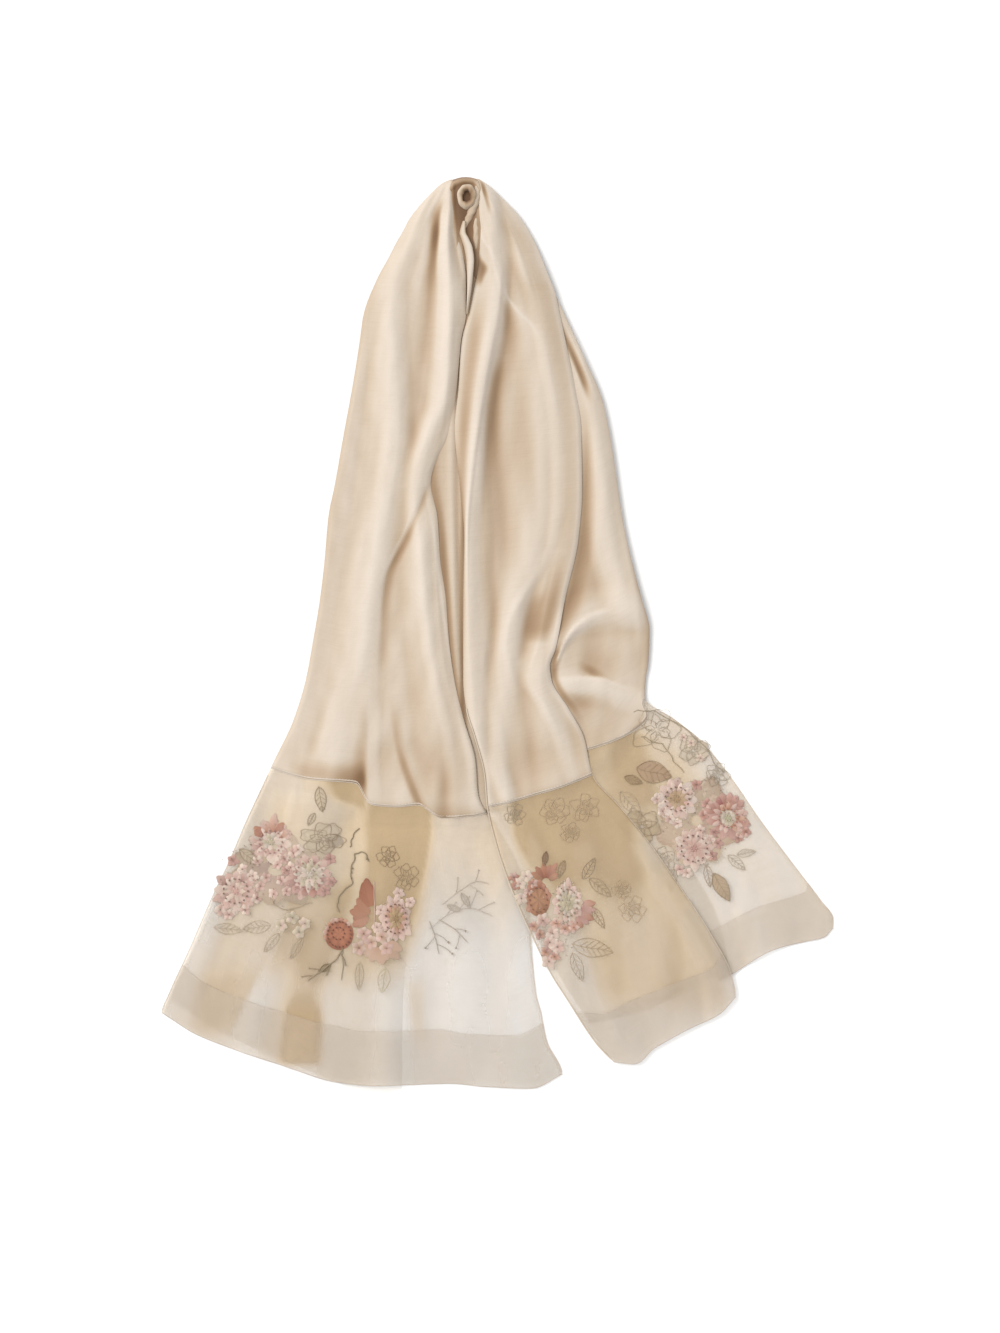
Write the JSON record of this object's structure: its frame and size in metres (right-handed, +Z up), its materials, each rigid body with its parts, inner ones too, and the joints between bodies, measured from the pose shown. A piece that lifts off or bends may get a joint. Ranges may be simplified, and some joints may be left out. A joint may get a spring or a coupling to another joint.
{
  "type": "evening stole",
  "caption": "Evening stole of fine champagne silk with sheer embroidered organza ends, folded at mid-length, pinched and laid flat as two fanned tails.",
  "frame": {"origin": "middle of the stole's footprint, on the surface that it lies on", "axes": "+Z up from that surface, +Y from the tails towards the pinch, +X across"},
  "size_m": [0.708, 0.965, 0.0268],
  "materials": {
    "silk": "soft sheen, fine plain weave",
    "organza": "sheer, crisp, lightly lustrous",
    "hem": "doubled sheer organza"
  },
  "bodies": {
    "root": {"silk_left": "silk", "silk_centre": "silk", "silk_right": "silk", "silk_right_outer": "silk", "hidden_layers": "silk", "pinch_ring": "silk", "pinch_strand": "silk", "organza_left": "organza", "organza_left_back": "organza", "organza_right": "organza", "organza_right_back": "organza", "organza_right_outer": "organza", "hem_left": "hem", "hem_right": "hem", "hem_right_outer": "hem"}
  },
  "joints": []
}
